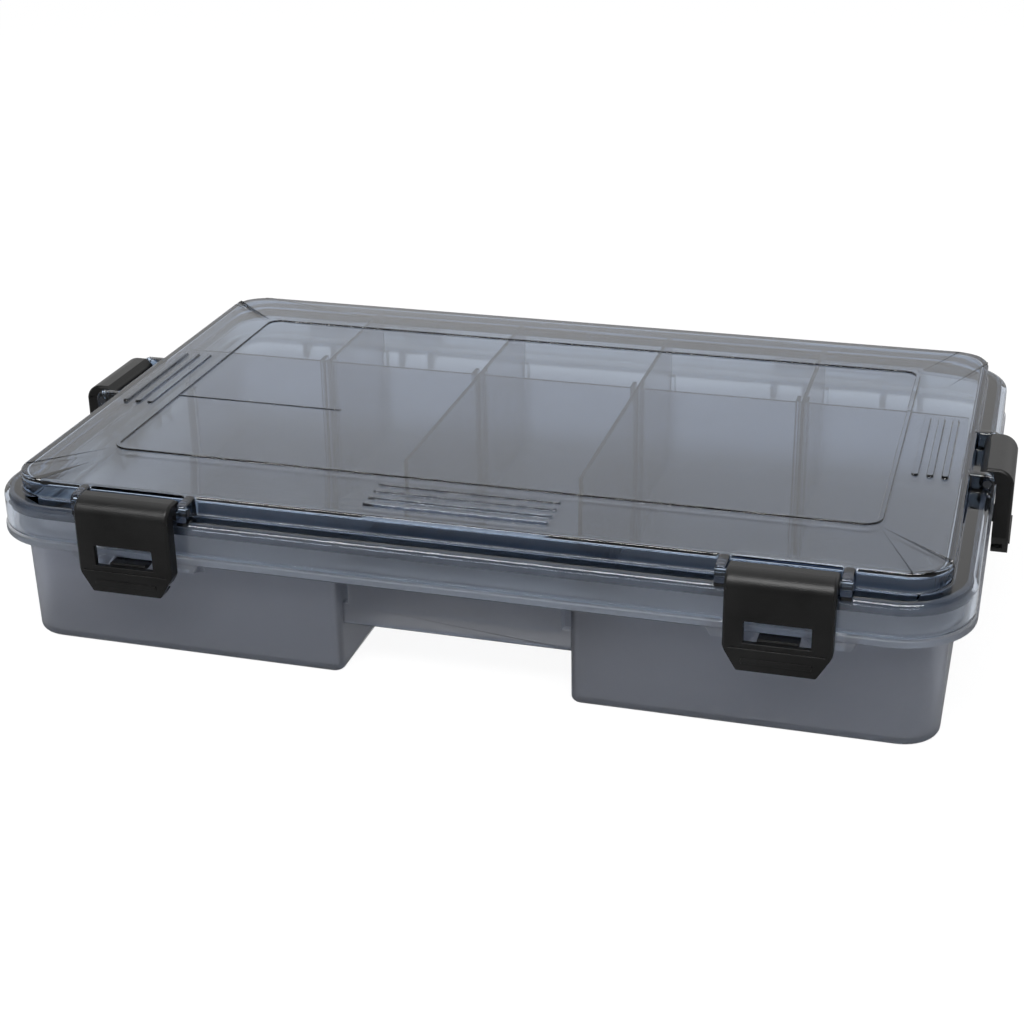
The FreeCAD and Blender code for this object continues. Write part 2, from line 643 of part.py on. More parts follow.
def make_ears(label):
    """Pair of ears for a latch pin at Y = Z = 0, their outer corners cut to a slope."""
    body = new_body(label)
    top = less(cell("deck_edge_high"), cell("pin_high"))
    low = less(cell("ear_low"), cell("pin_high"))
    outer = minus(plus(cell("pin_in"), cell("ear_proud")))
    inner = plus(less(cell("ledge"), cell("pin_in")), half(cell("lid_wall")))
    cut = cell("ear_round")
    share = f"0.3 * {cut}"
    block = across(body, f"{label}_Block", "0")
    polygon(block, [(inner, top), (inner, low), (outer, low), (outer, less(top, cut)),
                    (plus(outer, share), less(top, share)), (plus(outer, cut), top)])
    pad(body, block, f"2 * {plus(EAR_IN, cell('ear_wall'))}", both=True)
    space = across(body, f"{label}_Space", "0")
    rectangle(space, less(outer, cell("overrun")), less(low, cell("overrun")),
              plus(inner, cell("overrun")), plus(top, cell("overrun")))
    pocket(body, space, f"2 * {EAR_IN}", both=True)
    bore = across(body, f"{label}_Bore", "0")
    ring_circle(bore, "0", "0", plus(half(cell("pin_size")), cell("pin_play")))
    pocket(body, bore, f"2 * {plus(EAR_IN, cell('ear_wall'), cell('overrun'))}", both=True)
    return body


def make_lid_knuckle(label):
    body = new_body(label)
    axis = cell("hinge_high")
    arm = across(body, f"{label}_Arm", "0")
    rectangle(arm, less(RIM_Y, half(cell("lid_wall"))), axis, HINGE_Y,
              plus(axis, cell("knuckle_radius")))
    pad(body, arm, cell("hinge_middle"), both=True)
    add_knuckle(body, label, cell("hinge_middle"))
    return body


def make_lid():
    pieces = [make_lid_shell()]
    for name, x, y, turn in latch_spots(cell("pin_in")):
        ears = make_ears(f"ears_{name}")
        place(ears, x, y, cell("pin_high"), turn)
        pieces.append(ears)
    for side, hinge in HINGES:
        knuckle = make_lid_knuckle(f"lid_knuckle_{side}")
        place(knuckle, hinge, "0", "0", 0)
        pieces.append(knuckle)
    return fuse("lid", pieces)


def make_seal():
    """Ring in the groove between the lid's skirt and its inner rib."""
    body = new_body("lid_seal")
    play = cell("seal_play")
    groove = cell("groove_rib_wall")
    sketch = level(body, "SealRing", less(LEDGE_UNDER, SEAL_HIGH))
    rounded(sketch, less(SKIRT_ROOM_X, play), less(SKIRT_ROOM_Y, play),
            less(SKIRT_ROOM_CORNER, play))
    inner = plus(groove, play)
    rounded(sketch, plus(DECK_ROOM_X, inner), plus(DECK_ROOM_Y, inner),
            plus(DECK_ROOM_CORNER, inner))
    pad(body, sketch, SEAL_HIGH)
    return body


def make_latch(label):
    """Cam latch about its pin: X along the pin, the outside at -Y, hanging down."""
    body = new_body(label)
    width = cell("latch_width")
    crown, shoulder, face = cell("latch_crown"), cell("latch_shoulder"), LATCH_FACE
    drop = cell("latch_drop")
    cheek = plus(cell("pin_in"), cell("cheek_gap"))
    barrel = cell("barrel_radius")
    shell = across(body, f"{label}_Shell", "0")
    latch_outline(shell, crown, shoulder, face, drop, cheek, barrel)
    pad(body, shell, width, both=True)
    chamfer = dress_up("Chamfer", body, f"{label}_EdgeCut", is_latch_edge)
    chamfer.setExpression("Size", cell("latch_edge_cut"))
    tube = across(body, f"{label}_Barrel", "0")
    ring_circle(tube, "0", "0", barrel)
    pad(body, tube, width, both=True)

    wall = cell("latch_wall")
    inside = across(body, f"{label}_Inside", "0")
    rectangle(inside, minus(less(face, wall)), minus(less(drop, wall)),
              plus(minus(cheek), cell("overrun")), minus(plus(barrel, wall)))
    pocket(body, inside, less(width, f"2 * {wall}"), both=True)

    hook = across(body, f"{label}_Hook", "0")
    top = minus(plus(less(cell("pin_high"), cell("flange_low")), cell("hook_gap")))
    tip = minus(less(cell("pin_in"), cell("hook_in")))
    root = minus(less(face, half(wall)))
    polygon(hook, [(root, top), (tip, top), (tip, less(top, half(cell("hook_high")))),
                   (root, less(top, cell("hook_high")))])
    pad(body, hook, f"2 * {cell('hook_half')}", both=True)

    window = along(body, f"{label}_Window", minus(plus(face, cell("overrun"))))
    rectangle(window, minus(cell("window_half")), minus(cell("window_low")),
              cell("window_half"), minus(cell("window_top")))
    pocket(body, window, plus(cell("overrun"), f"1.2 * {wall}"))

    corners = along(body, f"{label}_Corners", minus(plus(face, cell("overrun"))))
    for sign in ("-1", "1"):
        edge = f"({sign}) * {plus(half(width), cell('overrun'))}"
        side = f"({sign}) * {half(width)}"
        inner = f"({sign}) * {less(half(width), cell('latch_cut_wide'))}"
        start = minus(less(drop, cell("latch_cut_high")))
        polygon(corners, [(edge, start), (side, start), (inner, minus(drop)),
                          (inner, minus(plus(drop, cell("overrun")))),
                          (edge, minus(plus(drop, cell("overrun"))))])
    pocket(body, corners, plus(face, f"2 * {cell('overrun')}"))

    score = along(body, f"{label}_Score", minus(face))
    line = minus(cell("groove_drop"))
    reach = less(half(width), wall)
    rectangle(score, minus(reach), less(line, cell("groove_size")), reach, line)
    pocket(body, score, cell("groove_size"))
    bar = along(body, f"{label}_PullBar", minus(face))
    middle = minus(cell("pull_bar_drop"))
    rounded(bar, cell("pull_bar_half"), half(cell("pull_bar_high")),
            f"0.4 * {cell('pull_bar_high')}", "0", middle)
    pad(body, bar, cell("pull_bar_rise"))

    bore = across(body, f"{label}_Bore", "0")
    ring_circle(bore, "0", "0", plus(half(cell("pin_size")), cell("pin_play")))
    pocket(body, bore, plus(width, cell("overrun")), both=True)
    return body


def is_latch_edge(edge):
    """Edges of the latch's two sides along its face, shoulder and crown."""
    box = edge.BoundBox
    crown = value(cell("latch_crown"))
    beside = box.XLength < TINY and abs(abs(box.XMin) - value(half(cell("latch_width")))) < TINY
    upper = box.ZMax > crown - value(cell("latch_shoulder")) - TINY
    outside = edge.CenterOfMass.y < -value(plus(cell("pin_in"), cell("cheek_gap")))
    return beside and upper and (outside or box.ZMin > crown - TINY)


def latch_outline(sketch, crown, shoulder, face, drop, cheek, barrel):
    """Side profile: flat crown, round shoulder, upright face, cheeks' inner edge, barrel."""
    nose = f"0.94 * {barrel}"
    lead = f"0.34 * {barrel}"
    turn = less(face, shoulder)
    below = less(crown, shoulder)
    points = [(minus(face), below), (minus(face), minus(drop)), (minus(cheek), minus(drop)),
              (minus(cheek), "0"), (nose, lead), (f"0.16 * {barrel}", crown),
              (minus(turn), crown)]
    first = sketch.GeometryCount
    spots = [Vector(value(y), value(z), 0) for y, z in points]
    for start, end in zip(spots, spots[1:]):
        sketch.addGeometry(Part.LineSegment(start, end))
    centre = Vector(-value(turn), value(below), 0)
    circle = Part.Circle(centre, Vector(0, 0, 1), value(shoulder))
    arc = sketch.addGeometry(Part.ArcOfCircle(circle, QUARTER, 2 * QUARTER))
    last = first + len(points) - 2
    for k in range(first, last):
        sketch.addConstraint(Sketcher.Constraint("Coincident", k, 2, k + 1, 1))
    for k, (y, z) in enumerate(points[:-1]):
        fix(sketch, first + k, 1, y, z)
    fix(sketch, last, 2, *points[-1])
    sketch.addConstraint(Sketcher.Constraint("Coincident", last, 2, arc, 1))
    sketch.addConstraint(Sketcher.Constraint("Coincident", arc, 2, first, 1))
    held = sketch.addConstraint(Sketcher.Constraint("Radius", arc, value(shoulder)))
    sketch.setExpression(f"Constraints[{held}]", shoulder)


def make_pin(label, size, length):
    """Plain round pin along X, its middle at its origin."""
    body = new_body(label)
    sketch = across(body, f"{label}_Section", "0")
    ring_circle(sketch, "0", "0", half(size))
    pad(body, sketch, length, both=True)
    return body


def place(body, x, y, z, turn):
    """Put a body at a place, turned about Z."""
    body.Placement = Placement(Vector(value(x), value(y), value(z)),
                               Rotation(Vector(0, 0, 1), turn))
    for axis, expression in (("x", x), ("y", y), ("z", z)):
        body.setExpression(f"Placement.Base.{axis}", expression)


def make_long_divider():
    """Lengthwise divider with slot ribs for the cross dividers on both faces."""
    body = new_body("long_divider")
    floor = plus(cell("tub_wall"), cell("divider_play"))
    play = cell("divider_play")
    reach, top = less(ROOM_X, play), less(DECK_ROOM_X, cell("divider_lid_gap"))
    panel = along(body, "LongPanel", cell("long_divider_back"))
    cut, step = cell("divider_cut"), cell("flange_high")
    side = [(less(reach, cut), floor), (reach, plus(floor, cut)), (reach, step), (top, step),
            (top, cell("divider_high"))]
    polygon(panel, side + [(minus(x), z) for x, z in reversed(side)])
    pad(body, panel, cell("divider_wall"), both=True)
    ribs = level(body, "LongRibs", floor)
    centre, thick = cell("long_divider_back"), half(cell("slot_rib_wall"))
    for slot in SLOTS:
        for middle in slot_ribs(slot):
            rectangle(ribs, less(middle, thick), less(centre, cell("slot_rib_deep")),
                      plus(middle, thick), plus(centre, cell("slot_rib_deep")))
    pad(body, ribs, less(cell("nub_high"), floor))
    return body


def make_cross_divider(label, x, near, far, top):
    """Cross divider in the plane X = x, from the long divider to a wall."""
    body = new_body(label)
    floor = plus(cell("tub_wall"), cell("divider_play"))
    panel = across(body, f"{label}_Panel", x)
    cut = cell("divider_cut")
    lead = cut if value(far) > value(near) else minus(cut)
    high, step = cell("divider_high"), cell("flange_high")
    upper = [(far, high)] if top == far else [(far, step), (top, step), (top, high)]
    polygon(panel, [(near, floor), (less(far, lead), floor), (far, plus(floor, cut))]
            + upper + [(near, high)])
    pad(body, panel, cell("divider_wall"), both=True)
    return body


def build():
    pieces = [make_tub(), make_lid(), make_seal()]
    ear_reach = plus(f"2 * {EAR_IN}", f"2 * {cell('ear_wall')}")
    for name, x, y, turn in latch_spots(cell("pin_in")):
        latch = make_latch(f"latch_{name}")
        place(latch, x, y, cell("pin_high"), turn)
        pin = make_pin(f"latch_pin_{name}", cell("pin_size"), ear_reach)
        place(pin, x, y, cell("pin_high"), turn)
        pieces += [latch, pin]
    for name, x in HINGES:
        pin = make_pin(f"hinge_pin_{name}", cell("hinge_pin_size"), f"2 * {cell('hinge_half')}")
        place(pin, x, HINGE_Y, cell("hinge_high"), 0)
        pieces.append(pin)
    pieces.append(make_long_divider())
    spacing = plus(half(cell("divider_wall")), cell("divider_play"))
    near, far = plus(cell("long_divider_back"), spacing), less(ROOM_Y, cell("divider_play"))
    top = less(DECK_ROOM_Y, cell("divider_lid_gap"))
    for number, x in enumerate(SLOTS, start=1):
        pieces.append(make_cross_divider(f"back_divider_{number}", x, near, far, top))
    near, far = less(cell("long_divider_back"), spacing), minus(less(NOTCH_WALL, cell("divider_play")))
    for number, x in enumerate(INNER_SLOTS, start=1):
        pieces.append(make_cross_divider(f"front_divider_{number}", x, near, far, far))
    return pieces


def check(pieces):
    """Stop if any object failed or any sub-part is not a sound solid."""
    for item in doc.Objects:
        if "Invalid" in item.State or "Error" in item.State:
            raise RuntimeError(f"{item.Label} failed: {item.State}")
    for piece in pieces:
        shape = piece.Shape
        if shape.isNull() or not shape.isValid() or len(shape.Solids) != 1:
            raise RuntimeError(f"{piece.Label}: solids {len(shape.Solids)}, "
                               f"valid {not shape.isNull() and shape.isValid()}")


parts = build()
doc.recompute()
check(parts)
os.makedirs("parts", exist_ok=True)
for part in parts:
    part.Shape.exportStep(f"parts/{part.Label}.step")
    box = part.Shape.BoundBox
    print(f"{part.Label}: volume {part.Shape.Volume:.1f}, size "
          f"{box.XLength:.1f} x {box.YLength:.1f} x {box.ZLength:.1f}")
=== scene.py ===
"""Looks of the tackle box: smoky clear lid, frosted tub, grained black latches."""

import json
import math

import bmesh
import bpy
from mathutils import Matrix, Vector
from mathutils.bvhtree import BVHTree
from mathutils.kdtree import KDTree

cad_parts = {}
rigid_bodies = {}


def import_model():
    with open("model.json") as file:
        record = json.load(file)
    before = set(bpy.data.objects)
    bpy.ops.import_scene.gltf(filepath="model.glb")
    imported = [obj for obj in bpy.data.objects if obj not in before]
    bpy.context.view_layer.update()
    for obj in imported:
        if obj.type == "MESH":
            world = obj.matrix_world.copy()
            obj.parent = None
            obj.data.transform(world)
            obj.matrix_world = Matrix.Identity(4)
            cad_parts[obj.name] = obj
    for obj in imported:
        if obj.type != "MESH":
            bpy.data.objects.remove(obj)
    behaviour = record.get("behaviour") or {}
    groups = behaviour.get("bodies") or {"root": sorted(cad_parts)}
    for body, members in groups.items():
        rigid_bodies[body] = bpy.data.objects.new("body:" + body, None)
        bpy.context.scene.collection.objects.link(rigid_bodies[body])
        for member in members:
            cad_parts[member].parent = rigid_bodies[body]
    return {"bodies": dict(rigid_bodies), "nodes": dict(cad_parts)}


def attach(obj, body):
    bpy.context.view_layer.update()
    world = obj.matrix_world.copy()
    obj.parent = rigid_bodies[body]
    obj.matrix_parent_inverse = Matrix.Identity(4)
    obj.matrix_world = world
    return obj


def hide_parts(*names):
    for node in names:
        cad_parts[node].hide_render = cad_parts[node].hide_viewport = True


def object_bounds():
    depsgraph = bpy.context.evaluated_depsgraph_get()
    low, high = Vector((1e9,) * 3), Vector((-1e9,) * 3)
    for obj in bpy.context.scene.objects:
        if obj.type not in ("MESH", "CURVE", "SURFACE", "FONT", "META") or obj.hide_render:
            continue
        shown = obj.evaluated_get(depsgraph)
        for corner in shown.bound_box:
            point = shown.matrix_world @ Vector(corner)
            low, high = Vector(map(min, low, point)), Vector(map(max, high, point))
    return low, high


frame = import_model()
CAD_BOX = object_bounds()
NODES = frame["nodes"]
MM = 0.001

# camera, fitted to edges measured in the photograph
CAMERA_PLACE = Vector((190.5, -680.7, 341.1)) * MM
CAMERA_YAW = math.radians(16.36)
CAMERA_PITCH = math.radians(24.30)
CAMERA_ROLL = math.radians(0.87)
CAMERA_NEAREST = 0.01
FOCAL_PIXELS = 1902.4
IMAGE_PIXELS = 1024
SENSOR = 36.0

# nodes shown as they are; every other node gets a piece with rounded edges in its place
PLAIN = ("pin", "seal")

# widest rounding, share of the room beside an edge; the first key in a node's name counts
MOULDINGS = {
    "lid": (1.7 * MM, 0.38),
    "tub": (0.5 * MM, 0.25),
    "divider": (0.25 * MM, 0.3),
    "latch_front": (0.4 * MM, 0.3),
    "latch": (0.45 * MM, 0.3),
}
ROUNDING_SEGMENTS = 3

# corners this close are one, and faces this level with each other are one plane
MERGE = 0.002 * MM
LEVEL = math.radians(0.1)

# edges above this angle are rounded; slight but long folds stay crisp
SHARP = math.radians(30)
CREASE_LOW = math.radians(1)
CREASE_HIGH = math.radians(5)
CREASE_LENGTH = 8 * MM

# spacing of the points that stand for sharp edges
SAMPLE = 0.8 * MM

# in widest roundings: a corner farther off the form, or off its sharp edges, is a stray one
STRAY = 0.45
FAR = 2.2

# share of a noise's range over which its two colours blend
BLEND = (0.3, 0.7)

# colour sockets of a Mix node
MIX_FIRST = 6
MIX_SECOND = 7
MIX_RESULT = 2

# clear plastic: flow marks, fine grain and the colour that light takes inside it
PLASTIC_IOR = 1.5
FLOW_SCALE = 18
FLOW_STRETCH = (1, 1, 2.5)
FLOW_DARKER = 0.93
FLOW_ROUGHNESS = (0.8, 1.25)
FLOW_BUMP = (0.04, 2 * MM)
FINE_SCALE = 2600
FINE_DEPTH = 0.05 * MM
SMOKE = (0.54, 0.60, 0.69, 1)

# floor: white in the view but for a faint shadow, dimmer in gloss
FLOOR_HALF = 6.0
FLOOR_GAP = 0.2 * MM
PAPER = (0.86, 0.86, 0.86, 1)
PAPER_ROUGHNESS = 0.9
PAPER_SPECULAR = 0.1
PAPER_WHITENED = 0.93
PAPER_IN_GLOSS = 0.4

# floor as it shows through the plastic: a painted shadow, dim under the box
SHADE_IN = 18 * MM
SHADE_WIDE = 50 * MM
SHADE_UNDER = 0.30
SHADE_BESIDE = 1.0

# studio light, and the brightness that gloss shows from the front (-Y) to the back
SKY = (0.95, 0.97, 1.0, 1)
SKY_STRENGTH = 0.95
GLOSS_SPAN = (-0.2, 0.7)
GLOSS_STRENGTH = (0.15, 0.85)
WHITE = (1, 1, 1, 1)

# lamps: place, size in two directions, power
LAMPS = {
    "top_soft": ((-0.2, 0.3, 1.3), (1.4, 1.4), 6),
    "front_strip": ((0.1, -0.8, 0.98), (1.6, 0.35), 24),
    "front_soft": ((-0.9, -1.3, 0.9), (0.9, 0.9), 1.5),
}
LAMPS_AIM = Vector((0, 0, 0.03))

# many layers of clear plastic lie behind each other
BOUNCES = 24


def map_range(tree, source, start, stop, low=0.0, high=1.0, shape="LINEAR"):
    """Source's span from start to stop, mapped to low to high."""
    node = tree.nodes.new("ShaderNodeMapRange")
    node.interpolation_type = shape
    node.inputs["From Min"].default_value = start
    node.inputs["From Max"].default_value = stop
    node.inputs["To Min"].default_value = low
    node.inputs["To Max"].default_value = high
    tree.links.new(source, node.inputs["Value"])
    return node.outputs["Result"]


def math_node(tree, operation, first, second=None):
    """Value of a math node; first is a socket, second a socket or a number."""
    node = tree.nodes.new("ShaderNodeMath")
    node.operation = operation
    tree.links.new(first, node.inputs[0])
    if isinstance(second, float):
        node.inputs[1].default_value = second
    elif second is not None:
        tree.links.new(second, node.inputs[1])
    return node.outputs[0]


def axes_of(tree, kind):
    """X, Y and Z of a kind of texture coordinate."""
    place = tree.nodes.new("ShaderNodeTexCoord")
    axes = tree.nodes.new("ShaderNodeSeparateXYZ")
    tree.links.new(place.outputs[kind], axes.inputs[0])
    return axes.outputs


def shown_to(tree, kinds, share, before, after):
    """Shader that gives rays of these kinds a share of after in place of before."""
    path = tree.nodes.new("ShaderNodeLightPath")
    total = path.outputs[kinds[0]]
    for kind in kinds[1:]:
        total = math_node(tree, "MAXIMUM", total, path.outputs[kind])
    mix = tree.nodes.new("ShaderNodeMixShader")
    tree.links.new(math_node(tree, "MULTIPLY", total, share), mix.inputs["Fac"])
    tree.links.new(before.outputs[0], mix.inputs[1])
    tree.links.new(after.outputs[0], mix.inputs[2])
    return mix


class Material:
    """A node material with short calls for its nodes."""

    def __init__(self, name):
        self.data = bpy.data.materials.new(name)
        self.data.use_nodes = True
        self.tree = self.data.node_tree
        self.shader = self.tree.nodes["Principled BSDF"]
        self.output = self.tree.nodes["Material Output"]
        self.place = self.add("ShaderNodeTexCoord").outputs["Object"]

    def add(self, kind, **values):
        """New node; values name its properties."""
        node = self.tree.nodes.new(kind)
        for name, value in values.items():
            setattr(node, name, value)
        return node

    def link(self, source, target):
        self.tree.links.new(source, target)

    def socket(self, name):
        """Input of the shader; underscores stand for spaces."""
        return self.shader.inputs[name.replace("_", " ")]

    def set(self, **values):
        """Numbers and colours on the shader's own sockets."""
        for name, value in values.items():
            self.socket(name).default_value = value

    def feed(self, **sources):
        """Links to the shader's sockets."""
        for name, source in sources.items():
            self.link(source, self.socket(name))

    def noise(self, scale, detail=3.0, stretch=None):
        """Noise in object space; stretch scales the three axes."""
        node = self.add("ShaderNodeTexNoise")
        node.inputs["Scale"].default_value = scale
        node.inputs["Detail"].default_value = detail
        place = self.place
        if stretch:
            mapping = self.add("ShaderNodeMapping")
            mapping.inputs["Scale"].default_value = stretch
            self.link(self.place, mapping.inputs["Vector"])
            place = mapping.outputs["Vector"]
        self.link(place, node.inputs["Vector"])
        return node.outputs["Fac"]

    def blend(self, source, dark, pale):
        """Colour from dark to pale as a 0 to 1 value rises."""
        node = self.add("ShaderNodeValToRGB")
        for element, place, color in zip(node.color_ramp.elements, BLEND, (dark, pale)):
            element.position = place
            element.color = (*color, 1)
        self.link(source, node.inputs["Fac"])
        return node.outputs["Color"]

    def between(self, source, low, high):
        """Map a 0 to 1 value to a range."""
        return map_range(self.tree, source, 0, 1, low, high)

    def paint_shade(self, color, low, high, fade, tint):
        """Painted shade: colour times tint between two heights, fading in and out."""
        height = axes_of(self.tree, "Object")["Z"]
        rise = map_range(self.tree, height, low - fade, low)
        fall = map_range(self.tree, height, high + fade, high)
        mix = self.add("ShaderNodeMix", data_type="RGBA", blend_type="MULTIPLY")
        self.link(math_node(self.tree, "MULTIPLY", rise, fall), mix.inputs["Factor"])
        self.link(color, mix.inputs[MIX_FIRST])
        mix.inputs[MIX_SECOND].default_value = (*tint, 1)
        return mix.outputs[MIX_RESULT]

    def bump(self, height, strength, depth, onto=None):
        """Normal with the height's relief, on top of another normal if given."""
        node = self.add("ShaderNodeBump")
        node.inputs["Strength"].default_value = strength
        node.inputs["Distance"].default_value = depth
        self.link(height, node.inputs["Height"])
        if onto is not None:
            self.link(onto, node.inputs["Normal"])
        return node.outputs["Normal"]


def smoky(name, roughness, grain, depth, tint, clear=1.0, painted_shade_band=None):
    """Smoky plastic: tinted by its depth, with flow marks and fine grain; clear 1 is see-through.

    A given height range is painted darker in colour, as painted shade.
    """
    material = Material(name)
    material.set(Transmission_Weight=clear, IOR=PLASTIC_IOR)
    flow = material.noise(FLOW_SCALE, detail=2.0, stretch=FLOW_STRETCH)
    fine = material.noise(FINE_SCALE, detail=1.0)
    color = material.blend(flow, dark=[FLOW_DARKER * part for part in tint], pale=tint)
    if painted_shade_band:
        color = material.paint_shade(color, **painted_shade_band)
    smoothest, roughest = [roughness * part for part in FLOW_ROUGHNESS]
    wave = material.bump(flow, *FLOW_BUMP)
    material.feed(Base_Color=color,
                  Roughness=material.between(flow, smoothest, roughest),
                  Normal=material.bump(fine, grain, FINE_DEPTH, onto=wave))
    body = material.add("ShaderNodeVolumeAbsorption")
    body.inputs["Color"].default_value = SMOKE
    body.inputs["Density"].default_value = depth
    material.link(body.outputs["Volume"], material.output.inputs["Volume"])
    return material.data


def black_plastic(name, dark, pale):
    """Black moulded plastic with a fine leather-like grain and slightly rubbed patches."""
    material = Material(name)
    material.set(Specular_IOR_Level=0.24)
    grain = material.noise(scale=2200, detail=2.0)
    cloud = material.noise(scale=60)
    material.feed(Base_Color=material.blend(cloud, dark, pale),
                  Roughness=material.between(cloud, low=0.26, high=0.38),
                  Normal=material.bump(grain, strength=0.7, depth=0.12 * MM))
    return material.data


def rubber():
    """Soft blue-grey seal, slightly cloudy."""
    material = Material("seal_rubber")
    cloud = material.noise(scale=90)
    color = material.blend(cloud, dark=(0.045, 0.055, 0.075), pale=(0.07, 0.085, 0.11))
    material.feed(Base_Color=color, Roughness=material.between(cloud, low=0.5, high=0.7))
    return material.data


def steel():
    """Drawn steel pin: fine scratches along its length."""
    material = Material("pin_steel")
    material.set(Metallic=1.0)
    scratch = material.noise(scale=900, stretch=(0.05, 1, 1))
    color = material.blend(scratch, dark=(0.45, 0.45, 0.46), pale=(0.62, 0.62, 0.63))
    material.feed(Base_Color=color, Roughness=material.between(scratch, low=0.2, high=0.4))
    return material.data


def value_for(name, table):
    """Value of the first key that is part of the name."""
    return next(value for key, value in table.items() if key in name)


def dress(materials):
    """Give each node the material of the first key in its name."""
    for name, node in NODES.items():
        node.data.materials.clear()
        node.data.materials.append(value_for(name, materials))


def body_of(name):
    """Body that a moulding rides on; the tub and the dividers are the base."""
    return name if name in frame["bodies"] else "base"


def tree_of(points):
    """Search tree of points, numbered in their order."""
    tree = KDTree(len(points))
    for index, point in enumerate(points):
        tree.insert(point, index)
    tree.balance()
    return tree


def folds(form):
    """Edges between two faces, each with its angle."""
    return {edge: edge.calc_face_angle(0) for edge in form.edges if len(edge.link_faces) == 2}


def welded(node):
    """Form of a node in the scene's space, with split corners joined and planes filled evenly."""
    form = bmesh.new()
    form.from_mesh(node.data)
    form.transform(node.matrix_world)
    bmesh.ops.remove_doubles(form, verts=form.verts, dist=MERGE)
    level = [edge for edge, angle in folds(form).items() if angle < LEVEL]
    bmesh.ops.beautify_fill(form, faces=form.faces, edges=level, method="ANGLE")
    return form


def rooms_beside(sharp, reach):
    """Tree of points along the sharp edges, and each edge's room to those it doesn't touch."""
    owners, points = [], []
    for edge in sharp:
        start, stop = [corner.co for corner in edge.verts]
        count = math.ceil((stop - start).length / SAMPLE)
        for step in range(count + 1):
            owners.append(edge)
            points.append(start.lerp(stop, step / count))
    tree = tree_of(points)
    rooms = {}
    for edge in sharp:
        touching = {other for corner in edge.verts for other in corner.link_edges}
        middle = (edge.verts[0].co + edge.verts[1].co) / 2
        gaps = [gap for _, index, gap in tree.find_range(middle, reach)
                if owners[index] not in touching]
        rooms[edge] = min(gaps, default=reach)
    return tree, rooms


def weigh(form, widest, share):
    """Weight sharp edges by the room beside them, mark creases, give the sharp edges' points."""
    weight = form.edges.layers.float.new("bevel_weight_edge")
    angles = folds(form)
    sharp = [edge for edge, angle in angles.items() if angle > SHARP]
    ridges, rooms = rooms_beside(sharp, widest / share)
    for edge, room in rooms.items():
        edge[weight] = share * room / widest
    for edge, angle in angles.items():
        edge.smooth = not (CREASE_LOW < angle < CREASE_HIGH
                           and edge.calc_length() > CREASE_LENGTH)
    for face in form.faces:
        face.smooth = True
    return ridges


def bevel(piece, widest):
    """Round the piece's edges by their weights, for good."""
    modifier = piece.modifiers.new("rounding", "BEVEL")
    modifier.limit_method = "WEIGHT"
    modifier.width = widest
    modifier.segments = ROUNDING_SEGMENTS
    modifier.use_clamp_overlap = False
    shaped = piece.evaluated_get(bpy.context.evaluated_depsgraph_get())
    piece.data = bpy.data.meshes.new_from_object(shaped)
    piece.modifiers.clear()


def settle(mesh, strays):
    """Move stray corners to the middle of their neighbours that aren't stray."""
    near = {index: [] for index in strays}
    for edge in mesh.edges:
        for one, other in (edge.vertices, reversed(edge.vertices)):
            if one in strays and other not in strays:
                near[one].append(mesh.vertices[other].co)
    for index, places in near.items():
        if places:
            mesh.vertices[index].co = sum(places, Vector()) / len(places)


def rounded(name, widest, share):
    """Piece in place of a node: its form with the sharp edges rounded as far as there is room."""
    node = NODES[name]
    form = welded(node)
    ridges = weigh(form, widest, share)
    mesh = bpy.data.meshes.new(name + "_moulding")
    form.to_mesh(mesh)
    surface = BVHTree.FromBMesh(form)
    corners = tree_of([corner.co.copy() for corner in form.verts])
    form.free()
    if "custom_normal" in mesh.attributes:
        mesh.attributes.remove(mesh.attributes["custom_normal"])
    mesh.materials.append(node.data.materials[0])
    piece = bpy.data.objects.new(name + "_moulding", mesh)
    bpy.context.collection.objects.link(piece)
    bevel(piece, widest)
    strays = {corner.index for corner in piece.data.vertices
              if surface.find_nearest(corner.co)[3] > STRAY * widest
              or (ridges.find(corner.co)[2] > FAR * widest
                  and corners.find(corner.co)[2] > MERGE)}
    settle(piece.data, strays)
    normals = piece.modifiers.new("normals", "WEIGHTED_NORMAL")
    normals.keep_sharp = True
    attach(piece, body_of(name))
    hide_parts(name)


def painted_floor_shadow(tree):
    """Painted shadow on the floor as seen through plastic: dim under the box, full a hand's width
    beside it.
    """
    axes = axes_of(tree, "Object")
    beside = [math_node(tree, "SUBTRACT", math_node(tree, "ABSOLUTE", axes[axis]), half - SHADE_IN)
              for axis, half in (("X", CAD_BOX[1][0]), ("Y", CAD_BOX[1][1]))]
    return map_range(tree, math_node(tree, "MAXIMUM", *beside), 0, SHADE_WIDE,
                     SHADE_UNDER, SHADE_BESIDE, shape="SMOOTHSTEP")


def make_floor():
    """Large pale floor, white to the camera but for a faint shadow, with a painted shadow under the
    box where plastic shows it.
    """
    half = FLOOR_HALF
    mesh = bpy.data.meshes.new("floor")
    mesh.from_pydata([(-half, -half, 0), (half, -half, 0), (half, half, 0), (-half, half, 0)],
                     [], [(0, 1, 2, 3)])
    floor = bpy.data.objects.new("floor", mesh)
    floor.location.z = CAD_BOX[0][2] - FLOOR_GAP
    bpy.context.collection.objects.link(floor)
    paper = Material("floor_paper")
    paper.set(Base_Color=PAPER, Roughness=PAPER_ROUGHNESS, Specular_IOR_Level=PAPER_SPECULAR)
    shown = paper.shader
    for kind, share, strength in (("Is Camera Ray", PAPER_WHITENED, 1.0),
                                  ("Is Glossy Ray", 1.0, PAPER_IN_GLOSS),
                                  ("Is Transmission Ray", 1.0, painted_floor_shadow(paper.tree))):
        glow = paper.add("ShaderNodeEmission")
        if isinstance(strength, float):
            glow.inputs["Strength"].default_value = strength
        else:
            paper.link(strength, glow.inputs["Strength"])
        shown = shown_to(paper.tree, [kind], share, shown, glow)
    paper.link(shown.outputs[0], paper.output.inputs["Surface"])
    mesh.materials.append(paper.data)


